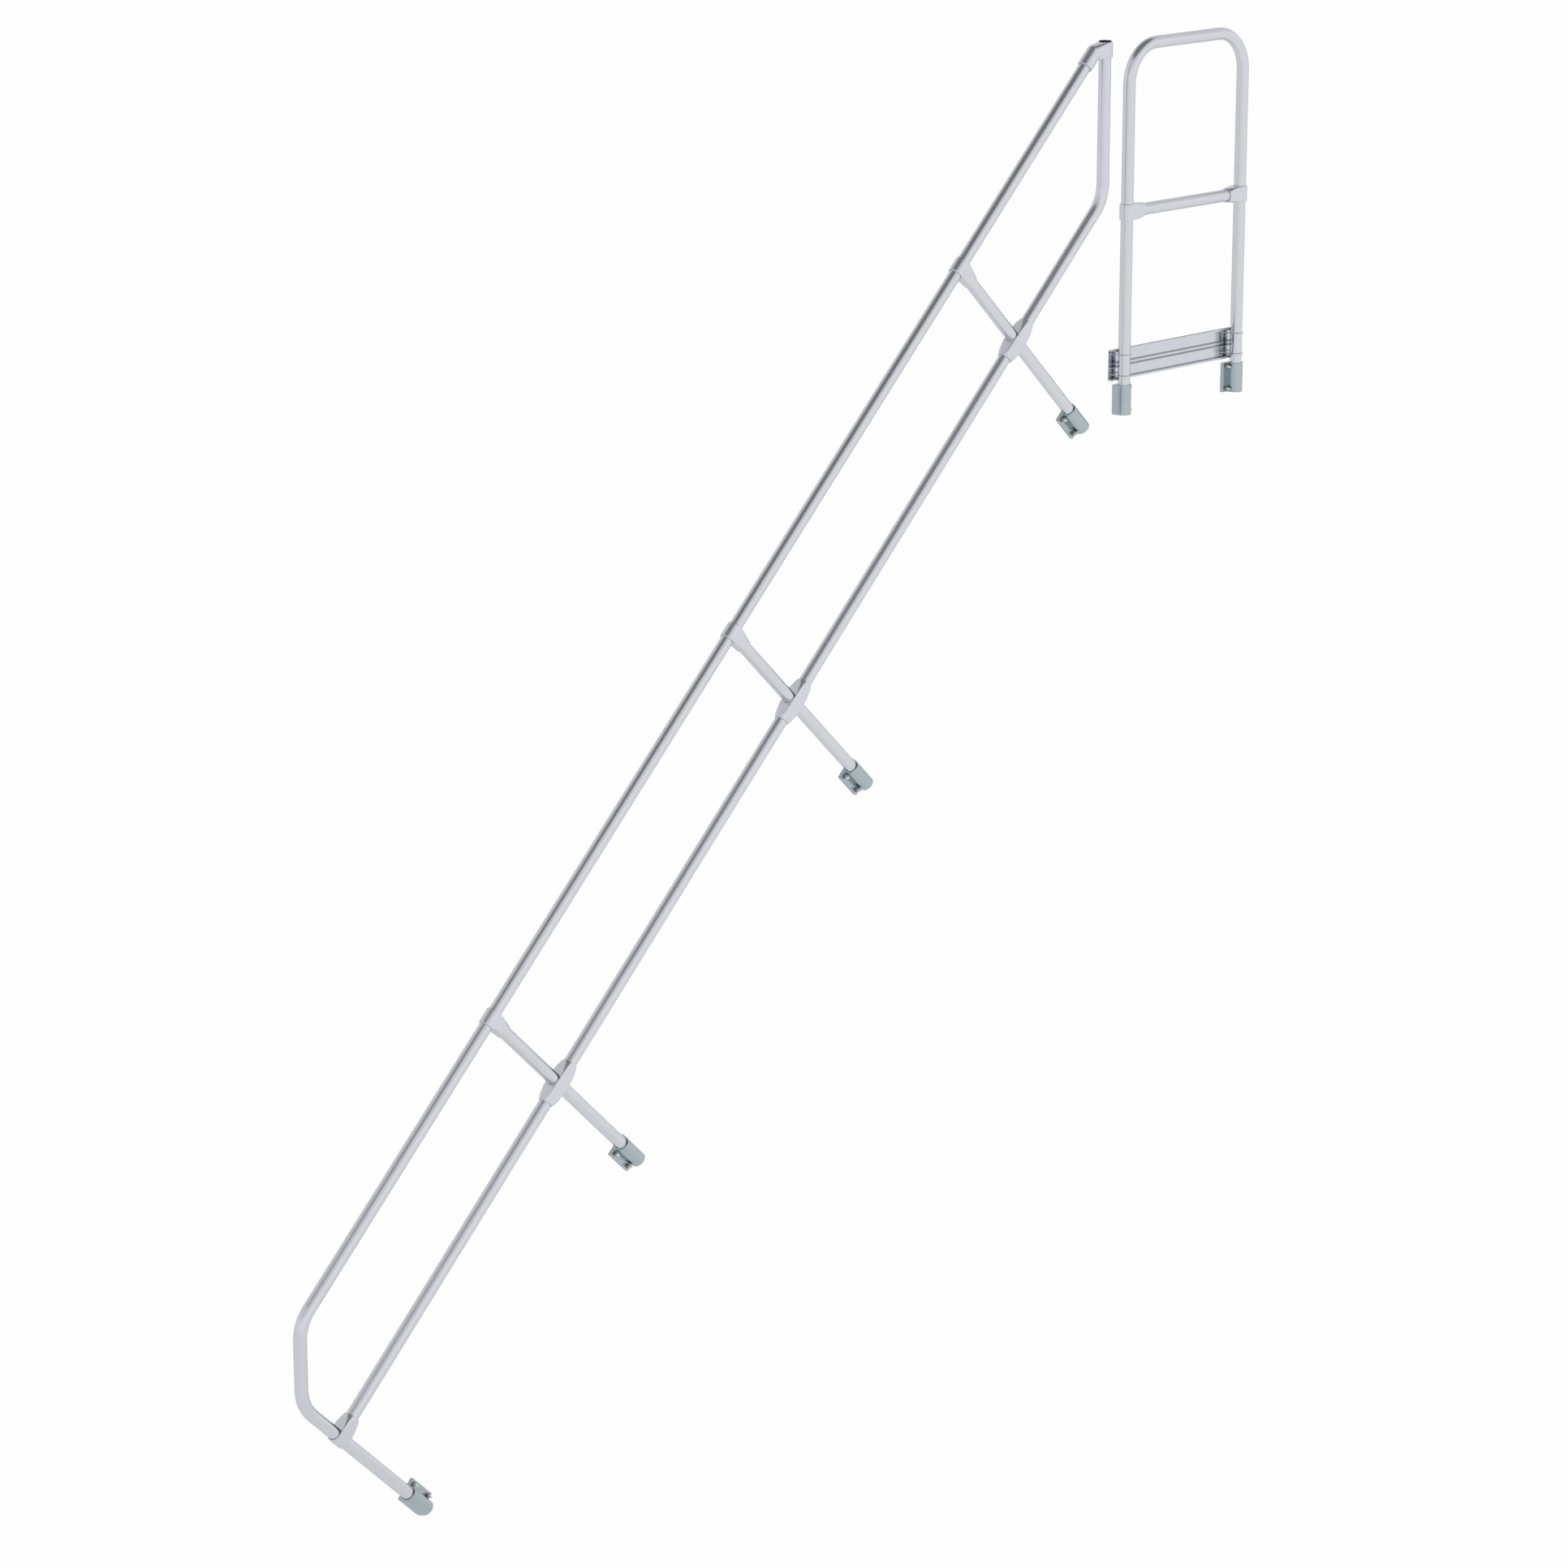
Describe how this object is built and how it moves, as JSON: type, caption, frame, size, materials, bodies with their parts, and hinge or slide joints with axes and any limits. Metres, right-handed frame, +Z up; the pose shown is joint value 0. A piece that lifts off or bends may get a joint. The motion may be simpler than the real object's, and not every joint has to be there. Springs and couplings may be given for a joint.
{
  "type": "stair handrail with platform guard rail",
  "caption": "Tubular aluminium handrail with a knee rail for one side of a stair, on clamped posts, with a separate hoop guard rail and toe board for its platform.",
  "frame": {"origin": "on the mounting face of the lowest clamp, behind the tube's axis, midway along the clamp", "axes": "+Z up, +X level in the direction that the stair climbs, +Y from the rail into the stair's side, square to the mounting faces"},
  "size_m": [4.1309, 0.0637, 4.1019],
  "materials": {
    "tube": "satin anodised",
    "casting": "fine blasted",
    "clamp": "grey anodised",
    "plug": "matt black",
    "board": "extruded satin",
    "steel": "zinc plated"
  },
  "bodies": {
    "root": {"top_rail": "tube", "post_1": "tube", "post_2": "tube", "post_3": "tube", "knee_rail_1": "tube", "knee_rail_2": "tube", "knee_rail_3": "tube", "knee_rail_top": "tube", "guard_hoop": "tube", "guard_mid_rail": "tube", "rail_tee_1": "casting", "rail_tee_2": "casting", "rail_tee_3": "casting", "cross_1": "casting", "cross_2": "casting", "cross_3": "casting", "foot_tee": "casting", "top_elbow": "casting", "guard_tee_left": "casting", "guard_tee_right": "casting", "end_plug": "plug", "foot_clamp": "clamp", "post_clamp_1": "clamp", "post_clamp_2": "clamp", "post_clamp_3": "clamp", "guard_clamp_left": "clamp", "guard_clamp_right": "clamp", "toe_board": "board", "clamp_studs": "steel", "clamp_washers": "steel", "clamp_nuts": "steel", "toe_u_bolts": "steel", "toe_washers": "steel", "toe_nuts": "steel", "rail_set_screws": "steel", "guard_set_screws": "steel"}
  },
  "joints": []
}
